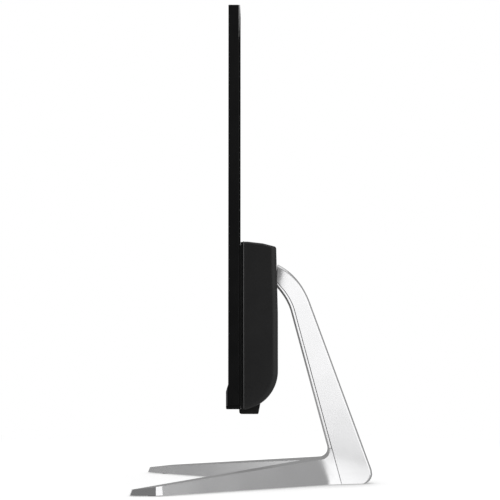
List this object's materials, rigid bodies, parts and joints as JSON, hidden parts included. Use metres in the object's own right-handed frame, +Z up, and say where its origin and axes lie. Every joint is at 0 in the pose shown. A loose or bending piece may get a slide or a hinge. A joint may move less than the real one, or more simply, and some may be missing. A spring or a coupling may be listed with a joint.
{
  "type": "all-in-one desktop computer",
  "caption": "Slim-screen all-in-one desktop computer: a black display with a deeper computer housing low on its back, tilting on a silver blade arm over a V-shaped foot.",
  "frame": {"origin": "on the table, at the centre of the bounding box's footprint", "axes": "+Z up; the screen faces -Y; +X is to the right of someone facing the screen"},
  "size_m": [0.541, 0.2426, 0.448],
  "materials": {
    "bezel_black": "fine satin moulded black",
    "housing_black": "fine-textured matt black moulding",
    "chin_grey": "dark silver-grey satin paint",
    "screen": "anti-glare dark panel, switched off",
    "backlight": "pressed sheet tray",
    "steel": "zinc-plated sheet and turned parts",
    "drive_metal": "cast case, satin",
    "stand_silver": "fine satin silver",
    "copper": "plain copper, slightly dulled",
    "circuit_green": "solder-masked board",
    "black_part": "moulded inner plastic",
    "rubber": "matt rubber"
  },
  "bodies": {
    "stand": {"stand_spine": "stand_silver", "stand_front_cover": "stand_silver", "stand_base": "stand_silver", "joining_plate": "steel", "joining_screw_1": "steel", "joining_screw_2": "steel", "foot_pad_left": "rubber", "foot_pad_right": "rubber", "foot_pad_rear": "rubber", "hinge_knuckle": "steel"},
    "head": {"front_bezel": "bezel_black", "back_cover": "bezel_black", "bottom_trim": "bezel_black", "chin_strip": "chin_grey", "lcd_cell": "screen", "webcam_lens": "screen", "backlight_unit": "backlight", "module_cover": "housing_black", "rest_foot_left": "rubber", "rest_foot_right": "rubber", "chassis_plate": "steel", "motherboard": "circuit_green", "ram_module_1": "circuit_green", "ram_module_2": "circuit_green", "wifi_card": "circuit_green", "port_board": "circuit_green", "webcam_board": "circuit_green", "power_switch": "circuit_green", "coin_cell": "steel", "cpu_cold_plate": "copper", "heat_pipe": "copper", "fin_stack": "copper", "fan_housing": "black_part", "hard_drive": "drive_metal", "drive_cage": "steel", "speaker_left": "black_part", "speaker_right": "black_part", "port_plate": "steel", "usb_port_1": "steel", "usb_port_2": "steel", "usb_port_3": "steel", "usb_port_4": "steel", "hdmi_port": "steel", "lan_port": "steel", "audio_jack": "black_part", "dc_jack": "black_part", "cover_screw_1": "steel", "cover_screw_2": "steel", "cover_screw_3": "steel", "cover_screw_4": "steel", "hinge_shaft": "steel", "hinge_bracket_left": "steel", "hinge_bracket_right": "steel", "hinge_washer_left": "steel", "hinge_washer_right": "steel", "hinge_nut_left": "steel", "hinge_nut_right": "steel"},
    "fan": {"fan_rotor": "black_part"},
    "button": {"power_button": "chin_grey"}
  },
  "joints": [
    {"name": "tilt", "type": "hinge", "parent": "stand", "child": "head", "pos_m": [0, 0.005, 0.215], "axis": [-1, 0, 0], "range_deg": [-5, 15]},
    {"name": "fan_spin", "type": "hinge", "parent": "head", "child": "fan", "pos_m": [0.085, -0.0025, 0.165], "axis": [0, 1, 0], "continuous": true},
    {"name": "power_press", "type": "slide", "parent": "head", "child": "button", "axis": [0, 0, 1], "range_m": [0, 0.0008], "stiffness_N_per_m": 400, "springref_m": -0.0006}
  ]
}
